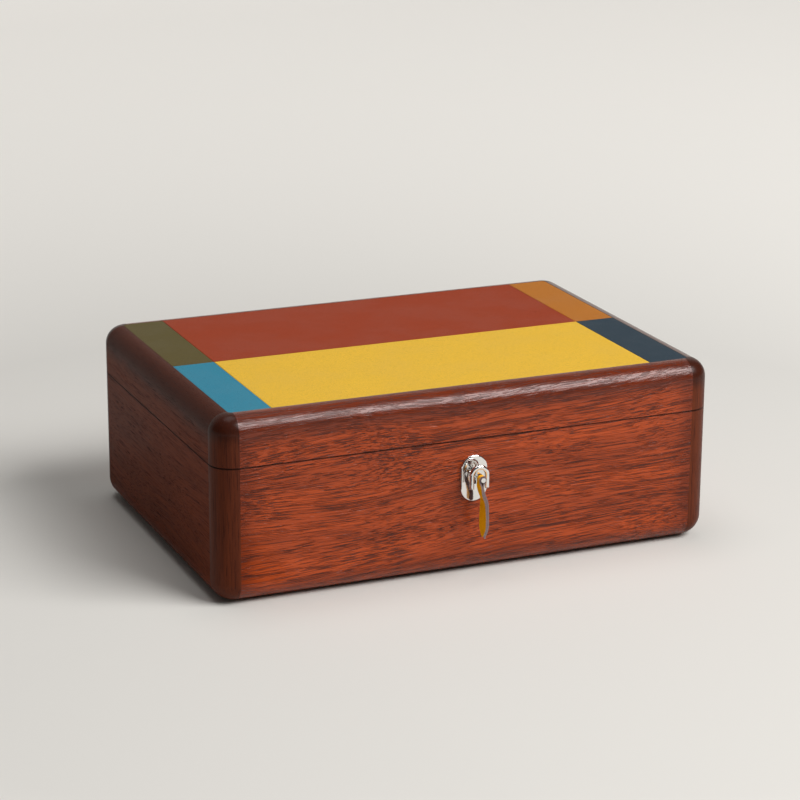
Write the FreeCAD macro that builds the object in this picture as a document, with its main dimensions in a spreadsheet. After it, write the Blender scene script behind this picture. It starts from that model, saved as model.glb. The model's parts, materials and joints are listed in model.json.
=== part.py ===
import FreeCAD, Part
import math
import os
import Sketcher

# Lift-lid wooden box for papers and keepsakes, with an inlaid leather top, a lock and its key.
# Lengths are in millimetres. X runs along the front, +Y towards the hinges, +Z up.
# The origin is the middle of the underside.

document = FreeCAD.newDocument("keepsake_box")
sheet = document.addObject("Spreadsheet::Sheet", "Sizes")

SIZES = [
    ("box_length", 330.0, "outside length along the front"),
    ("box_depth", 230.0, "outside depth from front to back"),
    ("box_height", 118.0, "height over the leather top, base pad included"),
    ("wall", 14.5, "thickness of the walls and side of the corner posts"),
    ("corner_radius", 14.5, "rounding of the upright corners"),
    ("top_round", 11.6, "rounding of the lid's top edges"),
    ("foot_round", 13.4, "rounding of the base's bottom edges"),
    ("round_relief", 0.5, "least difference between the corner rounding and an edge rounding"),
    ("seam_height", 86.8, "height of the base's rim"),
    ("seam_gap", 0.4, "gap between the rims of base and lid"),
    ("pad_thick", 1.2, "thickness of the pad under the base"),
    ("pad_margin", 3.0, "wood left bare round the pad"),
    ("pad_corner", 4.0, "rounding of the pad's corners"),
    ("bottom_thick", 7.0, "thickness of the bottom board"),
    ("bottom_rebate", 5.0, "width of the rebate that holds the bottom board"),
    ("lid_board", 6.0, "thickness of the board under the leather top"),
    ("inlay_border", 12.0, "wood round the leather top"),
    ("inlay_corner", 2.5, "rounding of the leather top's corners"),
    ("inlay_thick", 1.2, "thickness of the inlaid leather"),
    ("inlay_joint", 0.1, "joint between two pieces of leather"),
    ("side_column", 27.0, "width of the leather columns at the two ends"),
    ("lining", 1.5, "thickness of the lining inside"),
    ("lining_reveal", 2.0, "wood left bare between the lining and the rim"),
    ("stop_angle", 95.0, "opening angle at which the back bevels meet, in degrees"),
    ("bevel_gap", 0.3, "gap left between the back bevels when the lid is open"),
    ("pin_inset", 3.0, "distance of the hinge pins in from the back face"),
    ("hinge_inset", 70.0, "distance of each hinge's middle in from the box's end"),
    ("hinge_width", 36.0, "width of a hinge"),
    ("hinge_play", 0.25, "gap round a knuckle and beside it"),
    ("leaf_thick", 1.6, "thickness of a hinge leaf"),
    ("leaf_reach", 9.5, "reach of a hinge leaf in from its pin"),
    ("barrel_radius", 2.5, "radius of the hinge knuckles"),
    ("pin_radius", 1.1, "radius of the hinge pins"),
    ("pin_play", 0.05, "running clearance of a pin in its bore"),
    ("screw_radius", 0.9, "radius of a screw's shank"),
    ("screw_head", 1.8, "radius of a countersunk screw head"),
    ("screw_length", 9.0, "length of a screw"),
    ("screw_pitch", 11.0, "spacing of the screws in a hinge leaf"),
    ("screw_setback", 6.2, "distance of the leaf screws from the hinge pin"),
    ("slot_width", 0.5, "width of a screw's slot"),
    ("plate_width", 17.6, "width of the keyhole plate"),
    ("plate_height", 29.5, "height of the keyhole plate"),
    ("plate_thick", 1.6, "thickness of the keyhole plate"),
    ("plate_round", 0.9, "rounding of the keyhole plate's front edge"),
    ("plate_drop", 24.6, "distance of the plate's middle below the rim"),
    ("key_drop", 22.0, "distance of the key's axis below the rim"),
    ("case_width", 46.0, "width of the lock case"),
    ("case_height", 32.0, "height of the lock case"),
    ("case_depth", 9.0, "depth of the lock case"),
    ("case_wall", 1.0, "thickness of the lock case's sheet"),
    ("pillar_radius", 1.5, "radius of the pillars between the lock case and its cover"),
    ("pillar_inset", 4.0, "distance of the pillars in from the case's lower corners"),
    ("selvedge_width", 64.0, "width of the lock's top plate"),
    ("selvedge_thick", 1.6, "thickness of the lock's top plate and of the strike"),
    ("strike_width", 58.0, "width of the strike plate in the lid"),
    ("hook_offset", 12.0, "distance of each strike hook from the middle"),
    ("hook_width", 6.0, "width of a strike hook"),
    ("hook_thick", 2.4, "thickness of a strike hook"),
    ("hook_drop", 8.0, "length of a strike hook below the strike plate"),
    ("hook_play", 0.6, "clearance of a hook in the lock's top plate"),
    ("bolt_travel", 4.0, "travel of the lock's bolt"),
    ("bolt_thick", 3.0, "thickness of the bolt"),
    ("bolt_bar", 4.0, "height of the bolt's bar"),
    ("prong", 2.0, "height and thickness of the bolt's prongs"),
    ("lock_play", 0.3, "clearance of the lock's moving pieces"),
    ("shaft_radius", 2.0, "radius of the key's shaft"),
    ("post_radius", 1.0, "radius of the post that the key turns on"),
    ("bit_reach", 6.0, "reach of the key's bit from its axis"),
    ("bit_width", 1.6, "thickness of the key's bit"),
    ("key_standoff", 5.6, "gap between the keyhole plate and the key's bow"),
    ("bow_thick", 3.0, "thickness of the key's bow"),
    ("bow_radius", 6.4, "outer radius of the bow's arch"),
    ("bow_band", 2.8, "width of the bow's band"),
    ("bow_lift", 1.6, "height of the arch's centre above the key's axis"),
    ("lug_width", 3.4, "width of the tongue between the bow and the shaft"),
    ("bow_leg", 8.6, "length of the bow's legs below the arch"),
    ("bow_edge", 1.25, "rounding of the bow's edges"),
    ("bow_round", 0.7, "step between the bow and its collar, tongue and pin head"),
    ("strap_pin", 0.9, "radius of the pin that carries the strap"),
    ("strap_head", 1.5, "radius of the head on the strap's pin"),
    ("strap_thick", 1.25, "thickness of one layer of the strap"),
    ("strap_width", 6.0, "greatest width of the strap"),
    ("strap_play", 0.3, "clearance of the strap's fold round its pin"),
    ("strap_split", 0.1, "gap between the strap's two tails"),
    ("strap_neck", 3.2, "width of the strap at its fold"),
    ("strap_length", 37.0, "length of the strap below its pin"),
    ("strap_waist", 10.5, "distance below the pin at which the strap starts to widen"),
    ("strap_shoulder", 17.0, "distance below the pin at which the strap is widest"),
    ("strap_point", 6.0, "length of the strap's pointed end"),
]

for row, (alias, number, meaning) in enumerate(SIZES, start=1):
    sheet.set("A%d" % row, alias)
    sheet.set("B%d" % row, str(number))
    sheet.set("C%d" % row, meaning)
    sheet.setAlias("B%d" % row, alias)
document.recompute()

NAMES = [alias for alias, number, meaning in SIZES]

# Places that several pieces share, written in the sizes above
PLACES = {
    "half_length": "(box_length / 2)",
    "half_depth": "(box_depth / 2)",
    "inner_x": "(box_length / 2 - wall)",
    "inner_y": "(box_depth / 2 - wall)",
    "rim": "(seam_height - seam_gap / 2)",
    "lid_rim": "(seam_height + seam_gap / 2)",
    "floor_top": "(pad_thick + bottom_thick)",
    "board_top": "(box_height - inlay_thick)",
    "board_under": "(box_height - inlay_thick - lid_board)",
    "pin_y": "(box_depth / 2 - pin_inset)",
    "key_z": "(seam_height - key_drop)",
    "front_y": "(0 - box_depth / 2)",
    "plate_y": "(0 - box_depth / 2 - plate_thick)",
    "bow_back": "(0 - box_depth / 2 - plate_thick - key_standoff)",
    "bow_front": "(0 - box_depth / 2 - plate_thick - key_standoff - bow_thick)",
    "case_back": "(0 - box_depth / 2 + wall)",
    "case_front": "(0 - box_depth / 2 + wall - case_depth)",
    "case_top": "(seam_height - seam_gap / 2 - selvedge_thick)",
    "case_foot": "(seam_height - seam_gap / 2 - case_height)",
}


def formula(text):
    """Write a plain formula of sizes and places in the document's own terms."""
    text = str(text)
    for _ in range(2):
        for place, meaning in PLACES.items():
            text = replace_word(text, place, meaning)
    for alias in NAMES:
        text = replace_word(text, alias, "Sizes." + alias)
    return text


def replace_word(text, word, new):
    """Replace a whole word, leaving longer words that contain it alone."""
    out = ""
    token = ""
    for letter in text + " ":
        if letter.isalnum() or letter in "_.":
            token += letter
            continue
        out += (new if token == word else token) + letter
        token = ""
    return out[:-1]


def value(text):
    """The number that a formula stands for now."""
    number = sheet.evalExpression(formula(text))
    return float(getattr(number, "Value", number))


def bind(thing, **properties):
    """Tie properties of an object to formulas."""
    for name, text in properties.items():
        thing.setExpression(name, formula(text))


def place(thing, at):
    """Tie an object's place to three formulas."""
    for axis, text in zip("xyz", at):
        thing.setExpression("Placement.Base." + axis, formula(text))


AXIS_TURNS = {
    "x": FreeCAD.Rotation(FreeCAD.Vector(0, 1, 0), 90),
    "y": FreeCAD.Rotation(FreeCAD.Vector(1, 0, 0), -90),
}
TOUCH = 1e-4
nodes = []
base_holes = []
lid_holes = []
base_screws = []
lid_screws = []


def around(middle, half):
    """The pair of formulas at a half width each side of a middle."""
    return ("(%s) - (%s)" % (middle, half), "(%s) + (%s)" % (middle, half))


def block(label, x, y, z):
    """A rectangular block between pairs of formulas."""
    thing = document.addObject("Part::Box", label)
    thing.Label = label
    bind(
        thing,
        Length="(%s) - (%s)" % (x[1], x[0]),
        Width="(%s) - (%s)" % (y[1], y[0]),
        Height="(%s) - (%s)" % (z[1], z[0]),
    )
    place(thing, (x[0], y[0], z[0]))
    return thing


def rod(label, radius, start, length, axis):
    """A cylinder along an axis from its start."""
    thing = document.addObject("Part::Cylinder", label)
    thing.Label = label
    thing.Placement = FreeCAD.Placement(FreeCAD.Vector(), AXIS_TURNS[axis])
    bind(thing, Radius=radius, Height=length)
    place(thing, start)
    return thing


def fuse(label, things):
    """One solid made of several."""
    if len(things) == 1:
        return things[0]
    thing = document.addObject("Part::MultiFuse", label)
    thing.Label = label
    thing.Shapes = things
    return thing


def cut(label, base, tools):
    """A solid with tools taken out of it."""
    thing = document.addObject("Part::Cut", label)
    thing.Label = label
    thing.Base = base
    thing.Tool = fuse(label + "_tools", tools)
    return thing


def common(label, first, second):
    """What two solids share."""
    thing = document.addObject("Part::MultiCommon", label)
    thing.Label = label
    thing.Shapes = [first, second]
    return thing


def group(label, things):
    """Several loose solids of one kind that share a node."""
    thing = document.addObject("Part::Compound", label)
    thing.Label = label
    thing.Links = things
    return thing


def node(thing, label):
    """Name a finished sub-part."""
    thing.Label = label
    nodes.append(thing)
    return thing


def body_plane(body, role):
    """One of a body's own origin planes."""
    return [item for item in body.Origin.OriginFeatures if item.Role == role][0]


def sketch_of(body, name, role, points, arcs=()):
    """A closed sketch through points, each a pair of formulas.

    arcs names the sides that are arcs: the side's number, the height of its centre, which
    lies on the middle of the side, and whether it runs clockwise. Every point is held at its
    distances from the sketch's origin. A curve's points are 1, its start, 2, its end, and
    3, an arc's centre.
    """
    sketch = body.newObject("Sketcher::SketchObject", name)
    sketch.AttachmentSupport = [(body_plane(body, role), "")]
    sketch.MapMode = "FlatFace"
    spots = [FreeCAD.Vector(value(u), value(v), 0) for u, v in points]
    count = len(points)
    bulges = {number: (height, clockwise) for number, height, clockwise in arcs}
    sides = []
    starts = []
    for index in range(count):
        first, last = spots[index], spots[(index + 1) % count]
        edge = Part.LineSegment(first, last)
        start = 1
        if index in bulges:
            height, clockwise = bulges[index]
            centre = FreeCAD.Vector((first.x + last.x) / 2, value(height), 0)
            circle = Part.Circle(centre, FreeCAD.Vector(0, 0, 1), first.distanceToPoint(centre))
            ends = [math.atan2(spot.y - centre.y, spot.x - centre.x) for spot in (first, last)]
            start = 2 if clockwise else 1
            edge = Part.ArcOfCircle(circle, ends[start - 1], ends[2 - start])
        sides.append(sketch.addGeometry(edge, False))
        starts.append(start)
    for index in range(count):
        after = (index + 1) % count
        join = (sides[index], 3 - starts[index], sides[after], starts[after])
        sketch.addConstraint(Sketcher.Constraint("Coincident", *join))
    fixed = []
    for index, (u, v) in enumerate(points):
        fixed.append(("DistanceX", sides[index], starts[index], u))
        fixed.append(("DistanceY", sides[index], starts[index], v))
    for index, (height, clockwise) in bulges.items():
        fixed.append(("DistanceY", sides[index], 3, height))
    for kind, side, spot, text in fixed:
        rule = Sketcher.Constraint(kind, -1, 1, side, spot, value(text))
        number = sketch.addConstraint(rule)
        sketch.setExpression("Constraints[%d]" % number, formula(text))
    return sketch


def pad(body, name, sketch, length, middle=False):
    """A sketch drawn out to a length."""
    feature = body.newObject("PartDesign::Pad", name)
    feature.Profile = sketch
    feature.Midplane = middle
    bind(feature, Length=length)
    return feature


def raised(body, x="0", y="0", z="0"):
    """Put a whole body in its place."""
    place(body, (x, y, z))
    return body


def new_body(label):
    """An empty body."""
    body = document.addObject("PartDesign::Body", label)
    body.Label = label
    return body


def round_edges(body, name, radius, wanted):
    """Round the edges of a body's last feature that the test picks out."""
    document.recompute()
    base = body.Tip
    picked = [i + 1 for i, edge in enumerate(base.Shape.Edges) if wanted(edge)]
    feature = body.newObject("PartDesign::Fillet", name)
    feature.Base = (base, ["Edge%d" % i for i in picked])
    bind(feature, Radius=radius)
    return feature


def upright(edge):
    """Whether an edge runs straight up."""
    box = edge.BoundBox
    return box.XLength + box.YLength < TOUCH


def level_at(height):
    """A test for edges that lie flat at a height."""
    spread = lambda box: abs(box.ZMin - height) + abs(box.ZMax - height)
    return lambda edge: spread(edge.BoundBox) < TOUCH


def rounded_slab(label, half_x, half_y, z, corner):
    """A slab about the middle of the box with rounded upright corners."""
    body = new_body(label)
    low_x, low_y = "0 - (%s)" % half_x, "0 - (%s)" % half_y
    points = [(low_x, low_y), (half_x, low_y), (half_x, half_y), (low_x, half_y)]
    outline = sketch_of(body, label + "_outline", "XY_Plane", points)
    pad(body, label + "_pad", outline, "(%s) - (%s)" % (z[1], z[0]))
    round_edges(body, label + "_corners", corner, upright)
    return raised(body, z=z[0])


# The carcass: the whole box is glued up closed, rounded over and then sawn open at the seam.

def make_carcass():
    """The closed box as one block, with its upright, top and bottom edges rounded."""
    carcass = rounded_slab(
        "carcass", "half_length", "half_depth", ("pad_thick", "box_height"), "corner_radius"
    )
    thick = value("box_height - pad_thick")
    limit = "; corner_radius - round_relief)"
    round_edges(carcass, "carcass_top", "min(top_round" + limit, level_at(thick))
    round_edges(carcass, "carcass_foot", "min(foot_round" + limit, level_at(0))
    return carcass


def back_bevel(label, lid):
    """The wedge that is planed off along the back, so that the bevels meet at the stop."""
    body = new_body(label)
    side = 1 if lid else -1
    reach = "(pin_inset + wall)"
    rise = reach + " * tan(stop_angle / 2 * 1deg)"
    shift = "%d * bevel_gap / 2" % side
    start = "%d * seam_gap / 2" % side
    tip = "%d * (%s) + %s" % (side, rise, shift)
    heel = "0 - %d * (seam_gap + bevel_gap)" % side
    points = [("0", heel), (reach, heel), (reach, tip), ("0", shift + " + " + start)]
    outline = sketch_of(body, label + "_outline", "YZ_Plane", points)
    pad(body, label + "_pad", outline, "box_length + wall", middle=True)
    return raised(body, y="pin_y", z="seam_height")


# Screws: countersunk and slotted, pointing down into the base or up into the lid

def screw(label, x, y, z, up):
    """The bore that a screw fills, and the screw itself."""
    head = document.addObject("Part::Cone", label + "_head")
    turn = FreeCAD.Rotation() if up else FreeCAD.Rotation(FreeCAD.Vector(1, 0, 0), 180)
    head.Placement = FreeCAD.Placement(FreeCAD.Vector(), turn)
    bind(head, Radius1="screw_head", Radius2="screw_radius", Height="screw_head - screw_radius")
    place(head, (x, y, z))
    shank = document.addObject("Part::Cylinder", label + "_shank")
    shank.Placement = FreeCAD.Placement(FreeCAD.Vector(), turn)
    bind(shank, Radius="screw_radius", Height="screw_length")
    place(shank, (x, y, z))
    whole = fuse(label + "_blank", [head, shank])
    level = (z, "(%s) + slot_width" % z) if up else ("(%s) - slot_width" % z, z)
    slot = block(label + "_slot", around(x, "screw_head"), around(y, "slot_width / 2"), level)
    return whole, cut(label, whole, [slot])


def screw_row(label, spots, y, z, up):
    """Screws side by side; their bores go to the wood's list and they to the group's list."""
    bores = []
    for number, x in enumerate(spots, start=1):
        bore, piece = screw("%s_%d" % (label, number), x, y, z, up)
        bores.append(bore)
        (lid_screws if up else base_screws).append(piece)
    (lid_holes if up else base_holes).extend(bores)
    return bores


# Hinges: butt hinges let into the rims, three knuckles on a fixed pin

def knuckle_reliefs(label, centre, lid):
    """Room in a leaf's plate for the other leaf's knuckles."""
    third = "(hinge_width / 3)"
    if lid:
        spans = [
            ("(%s) - hinge_width / 2 - hinge_play" % centre, third + " + hinge_play * 3 / 2"),
            ("(%s) + %s / 2 - hinge_play / 2" % (centre, third), third + " + hinge_play * 3 / 2"),
        ]
    else:
        spans = [("(%s) - %s / 2 - hinge_play / 2" % (centre, third), third + " + hinge_play")]
    radius = "barrel_radius + hinge_play"
    tools = []
    for number, (start, length) in enumerate(spans):
        name = "%s_relief_%d" % (label, number)
        tools.append(rod(name, radius, (start, "pin_y", "seam_height"), length, "x"))
    return tools


def make_hinge(side, centre):
    """Two leaves on a pin, sunk flush in the rims, with their screws."""
    low, high = around(centre, "screw_pitch")
    pitch = [low, centre, high]
    screw_y = "pin_y - screw_setback"
    for lid in (False, True):
        which = "lid" if lid else "base"
        label = "hinge_%s_%s_leaf" % (side, which)
        z = "lid_rim" if lid else "rim"
        bores = screw_row("screw_%s_%s" % (side, which), pitch, screw_y, z, lid)
        plate = around(centre, "hinge_width / 2")
        reach = ("pin_y - leaf_reach", "pin_y")
        level = ("lid_rim", "lid_rim + leaf_thick") if lid else ("rim - leaf_thick", "rim")
        (lid_holes if lid else base_holes).append(block(label + "_mortise", plate, reach, level))
        blank = block(label + "_plate", plate, reach, level)
        trimmed = cut(label + "_trimmed", blank, knuckle_reliefs(label, centre, lid))
        knuckles = make_knuckles(label, centre, lid)
        joined = fuse(label + "_joined", [trimmed] + knuckles)
        pin_bore = rod(
            label + "_bore", "pin_radius + pin_play",
            ("(%s) - hinge_width" % centre, "pin_y", "seam_height"), "2 * hinge_width", "x",
        )
        node(cut(label, joined, bores + [pin_bore]), label)
    seat = ("(%s) - hinge_width / 2 - hinge_play" % centre, "pin_y", "seam_height")
    length = "hinge_width + 2 * hinge_play"
    for which, holes in (("base", base_holes), ("lid", lid_holes)):
        name = "hinge_%s_%s_groove" % (side, which)
        holes.append(rod(name, "barrel_radius + hinge_play", seat, length, "x"))
    start = ("(%s) - hinge_width / 2" % centre, "pin_y", "seam_height")
    pin_label = "hinge_%s_pin" % side
    node(rod(pin_label, "pin_radius", start, "hinge_width", "x"), pin_label)


def make_knuckles(label, centre, lid):
    """The middle knuckle of the lid's leaf, or the two end knuckles of the base's."""
    third = "(hinge_width / 3)"
    if lid:
        spans = [("(%s) - %s / 2 + hinge_play / 2" % (centre, third), third + " - hinge_play")]
    else:
        short = third + " - hinge_play / 2"
        spans = [
            ("(%s) - hinge_width / 2" % centre, short),
            ("(%s) + %s / 2 + hinge_play / 2" % (centre, third), short),
        ]
    knuckles = []
    for number, (start, length) in enumerate(spans):
        name = "%s_knuckle_%d" % (label, number)
        knuckles.append(rod(name, "barrel_radius", (start, "pin_y", "seam_height"), length, "x"))
    return knuckles


def make_hinges():
    """The two hinges and their screws, gathered by the part that they are driven into."""
    make_hinge("left", "(0 - half_length + hinge_inset)")
    make_hinge("right", "(half_length - hinge_inset)")
    node(group("hinge_screws_base", list(base_screws)), "hinge_screws_base")
    node(group("hinge_screws_lid", list(lid_screws)), "hinge_screws_lid")


# Lock: a box lock let into the front wall, with a strike in the lid

LOCK_MIDDLE = "(0 - box_depth / 2 + wall - case_depth / 2)"
LOCK_Y = ("case_front", "case_back")


def make_keyhole():
    """The space that the key's shaft and bit pass through."""
    start = ("0", "plate_y - wall", "key_z")
    length = "2 * wall + plate_thick - case_depth + 2 * case_wall"
    hole = rod("keyhole_round", "shaft_radius + lock_play", start, length, "y")
    inner = "case_front + case_wall * 2"
    slot = block(
        "keyhole_slot", around("0", "bit_width / 2 + lock_play"), ("plate_y - wall", inner),
        ("key_z - bit_reach - lock_play", "key_z"),
    )
    return fuse("keyhole", [hole, slot])


def make_keyhole_plate(keyhole):
    """The oblong plate on the front, with half-round ends and a rounded front edge."""
    body = new_body("plate_blank")
    half, straight = "plate_width / 2", "(plate_height - plate_width) / 2"
    low = "0 - " + straight
    points = [("0 - " + half, low), (half, low), (half, straight), ("0 - " + half, straight)]
    arcs = [(0, low, False), (2, straight, False)]
    outline = sketch_of(body, "plate_outline", "XZ_Plane", points, arcs)
    pad(body, "plate_pad", outline, "plate_thick")
    front = -value("plate_thick")
    spread = lambda box: abs(box.YMin - front) + abs(box.YMax - front)
    at_front = lambda edge: spread(edge.BoundBox) < TOUCH
    round_edges(body, "plate_edge", "min(plate_round; plate_thick * 3 / 4)", at_front)
    raised(body, y="front_y", z="seam_height - plate_drop")
    node(cut("keyhole_plate", body, [keyhole]), "keyhole_plate")


def make_lock_case(keyhole):
    """The case, its cover, pillars and post; gives the pocket that they need in the wood."""
    wide = around("0", "case_width / 2")
    shell = block("case_shell", wide, ("case_front", "case_back - case_wall"),
                  ("case_foot", "case_top"))
    hollow = block("case_hollow", around("0", "case_width / 2 - case_wall"),
                   ("case_front + case_wall", "case_back"), ("case_foot + case_wall", "rim"))
    node(cut("lock_case", shell, [hollow, keyhole]), "lock_case")
    node(block("lock_cover", wide, ("case_back - case_wall", "case_back"),
               ("case_foot", "case_top")), "lock_cover")
    post_start = ("0", "case_front + 2 * case_wall", "key_z")
    post_length = "case_depth - 3 * case_wall"
    node(rod("key_post", "post_radius", post_start, post_length, "y"), "key_post")
    pillars = []
    for name, side in (("left", "0 - "), ("right", "")):
        spot = "%s(case_width / 2 - pillar_inset)" % side
        start = (spot, "case_front + case_wall", "case_foot + pillar_inset")
        length = "case_depth - 2 * case_wall"
        pillars.append(rod("pillar_" + name, "pillar_radius", start, length, "y"))
    node(group("lock_pillars", pillars), "lock_pillars")
    pocket = block("case_pocket", wide, ("case_front", "case_back + lining"),
                   ("case_foot", "rim + wall"))
    return pocket


def hook_middles():
    """The places of the strike's two hooks along the front."""
    return {"left": "(0 - hook_offset)", "right": "hook_offset"}


EYE_LOW = "(lid_rim - hook_drop + prong)"
EYE_HIGH = "(lid_rim - hook_drop + 2 * prong + 2 * hook_play)"


def make_top_plate():
    """The plate on the rim that the strike's hooks pass down through."""
    wide = around("0", "selvedge_width / 2")
    level = ("case_top", "rim")
    blank = block("selvedge_blank", wide, LOCK_Y, level)
    slots = []
    for name, middle in hook_middles().items():
        across = around(middle, "hook_thick / 2 + hook_play")
        depth = around(LOCK_MIDDLE, "hook_width / 2 + hook_play")
        slots.append(block("slot_" + name, across, depth, ("case_foot", "lid_rim")))
    spots = ["0 - (case_width + selvedge_width) / 4", "(case_width + selvedge_width) / 4"]
    base_screws.clear()
    bores = screw_row("screw_top_plate", spots, LOCK_MIDDLE, "rim", False)
    node(cut("lock_top_plate", blank, slots + bores), "lock_top_plate")
    node(group("lock_screws", list(base_screws)), "lock_screws")
    base_holes.append(block("selvedge_pocket", wide, ("case_front", "case_back + lining"), level))


def make_strike():
    """The plate let into the lid's rim, with two eyed hooks."""
    wide = around("0", "strike_width / 2")
    level = ("lid_rim", "lid_rim + selvedge_thick")
    plate = block("strike_blank", wide, LOCK_Y, level)
    hooks, eyes = [], []
    for name, middle in hook_middles().items():
        across = around(middle, "hook_thick / 2")
        depth = around(LOCK_MIDDLE, "hook_width / 2")
        hooks.append(block("hook_" + name, across, depth, ("lid_rim - hook_drop", level[1])))
        eye_depth = around(LOCK_MIDDLE, "prong / 2 + hook_play")
        eyes.append(block("eye_" + name, around(middle, "hook_thick"), eye_depth,
                          (EYE_LOW, EYE_HIGH)))
    lid_screws.clear()
    spots = ["0 - (strike_width / 4 + hook_offset / 2)", "(strike_width / 4 + hook_offset / 2)"]
    bores = screw_row("screw_strike", spots, LOCK_MIDDLE, "lid_rim", True)
    node(cut("lid_strike", fuse("strike_joined", [plate] + hooks), eyes + bores), "lid_strike")
    node(group("strike_screws", list(lid_screws)), "strike_screws")
    lid_holes.append(block("strike_pocket", wide, ("case_front", "case_back + lining"), level))


BAR_TOP = "(lid_rim - hook_drop - hook_play)"
BAR_LOW = "(lid_rim - hook_drop - hook_play - bolt_bar)"


def make_bolt():
    """The bolt slides sideways; its prongs pass through the hooks' eyes."""
    depth = around(LOCK_MIDDLE, "bolt_thick / 2")
    thin = around(LOCK_MIDDLE, "prong / 2")
    gap = "hook_thick / 2 + lock_play"
    riser = gap + " + bolt_travel + lock_play"
    bar = ("0 - hook_offset - hook_thick", "hook_offset + %s + prong" % riser)
    pieces = [block("bolt_bar_blank", bar, depth, (BAR_LOW, BAR_TOP))]
    low, high = EYE_LOW + " + hook_play", EYE_LOW + " + hook_play + prong"
    for name, middle in hook_middles().items():
        start = "%s + %s" % (middle, riser)
        end = start + " + prong"
        pieces.append(block("riser_" + name, (start, end), thin, (BAR_LOW, high)))
        reach = ("%s + %s" % (middle, gap), end)
        pieces.append(block("prong_" + name, reach, thin, (low, high)))
    face = "0 - shaft_radius - 5 * lock_play"
    leg = ("%s - bolt_thick" % face, face)
    pieces.append(block("talon", leg, depth, ("key_z - bit_reach + case_wall", BAR_LOW)))
    node(fuse("lock_bolt", pieces), "lock_bolt")


def make_spring():
    """A leaf spring that bears on the bolt and keeps it where the key leaves it."""
    thin = "lock_play"
    depth = around(LOCK_MIDDLE, "prong / 2")
    reach = ("0 - bolt_bar / 2", "bolt_bar * 2")
    level = (BAR_TOP + " + lock_play", BAR_TOP + " + lock_play + " + thin)
    blade = block("spring_blade", reach, depth, level)
    foot = block("spring_foot", (reach[1] + " - " + thin, reach[1]), depth,
                 (level[0], "case_top"))
    node(fuse("lock_spring", [blade, foot]), "lock_spring")


# Key: a hollow shaft with a bit, and a bow shaped as an arch whose pin carries the strap

def make_key():
    """The key, made as one piece: bow, tongue, shaft, collar, bit and the pin for the strap."""
    body = new_body("bow_blank")
    outer, inner = "bow_radius", "(bow_radius - bow_band)"
    foot = "0 - bow_leg"
    points = [
        ("0 - " + outer, foot), ("0 - " + inner, foot), ("0 - " + inner, "0"), (inner, "0"),
        (inner, foot), (outer, foot), (outer, "0"), ("0 - " + outer, "0"),
    ]
    outline = sketch_of(body, "bow_outline", "XZ_Plane", points, [(2, "0", True), (6, "0", False)])
    pad(body, "bow_pad", outline, "bow_thick")
    everything = lambda edge: edge.BoundBox.YLength < TOUCH
    round_edges(body, "bow_edges", "min(bow_edge; bow_thick * 2 / 5)", everything)
    raised(body, y="bow_back", z="key_z + bow_lift")
    lug = block("lug", around("0", "lug_width / 2"), ("bow_front + bow_round", "bow_back"),
                ("key_z - shaft_radius", "key_z + bow_lift + bow_radius - bow_band / 2"))
    inner_end = "case_back - case_wall - lock_play"
    shaft = rod("shaft", "shaft_radius", ("0", "bow_front + bow_round", "key_z"),
                "(%s) - (bow_front + bow_round)" % inner_end, "y")
    collar = rod("collar", "shaft_radius + bow_round", ("0", "bow_back", "key_z"),
                 "key_standoff - lock_play", "y")
    bit = block("bit", around("0", "bit_width / 2"),
                around(LOCK_MIDDLE, "bolt_thick / 2 - lock_play"),
                ("key_z - bit_reach", "key_z - post_radius - pin_play"))
    pin_end = "bow_front - strap_neck - 2 * lock_play"
    pin = rod("bow_pin", "strap_pin", ("0", pin_end, "key_z"),
              "strap_neck + 2 * lock_play + bow_round", "y")
    head = rod("bow_pin_head", "strap_head", ("0", pin_end + " - bow_round", "key_z"),
               "bow_round", "y")
    whole = fuse("key_joined", [body, lug, shaft, collar, bit, pin, head])
    bore = rod("key_bore", "post_radius + pin_play", ("0", "case_front", "key_z"),
               "case_depth", "y")
    node(cut("key", whole, [bore]), "key")


STRAP_BORE = "(strap_pin + strap_play)"
STRAP_MIDDLE = "(bow_front - lock_play - strap_neck / 2)"


def make_strap():
    """One strip of leather, folded over the bow's pin, with two pointed tails."""
    start = ("0", "%s - strap_width / 2" % STRAP_MIDDLE, "key_z")
    fold = rod("strap_fold", STRAP_BORE + " + strap_thick", start, "strap_width", "y")
    whole = around(STRAP_MIDDLE, "strap_width / 2")
    tails = []
    for name, side in (("left", "0 - strap_split / 2 - strap_thick"), ("right", "strap_split / 2")):
        span = (side, side + " + strap_thick")
        tails.append(block("tail_" + name, span, whole,
                           ("key_z - strap_length", "key_z - strap_pin")))
    bore = rod("strap_bore", STRAP_BORE, start, "strap_width", "y")
    folded = cut("strap_folded", fuse("strap_joined", [fold] + tails), [bore])
    shape = new_body("strap_outline_body")
    half, neck = "strap_width / 2", "strap_neck / 2"
    top = "strap_pin + strap_play + 2 * strap_thick"
    side = [(neck, top), (neck, "0 - strap_waist"), (half, "0 - strap_shoulder"),
            (half, "0 - strap_length + strap_point")]
    points = [("0 - " + u, v) for u, v in side] + [("0", "0 - strap_length")]
    points += [(u, v) for u, v in reversed(side)]
    outline = sketch_of(shape, "strap_outline", "YZ_Plane", points)
    pad(shape, "strap_pad", outline, "4 * (strap_pin + strap_play + strap_thick)", middle=True)
    raised(shape, y=STRAP_MIDDLE, z="key_z")
    node(common("key_strap", folded, shape), "key_strap")


# Woodwork, leather top, linings and the pad underneath

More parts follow.
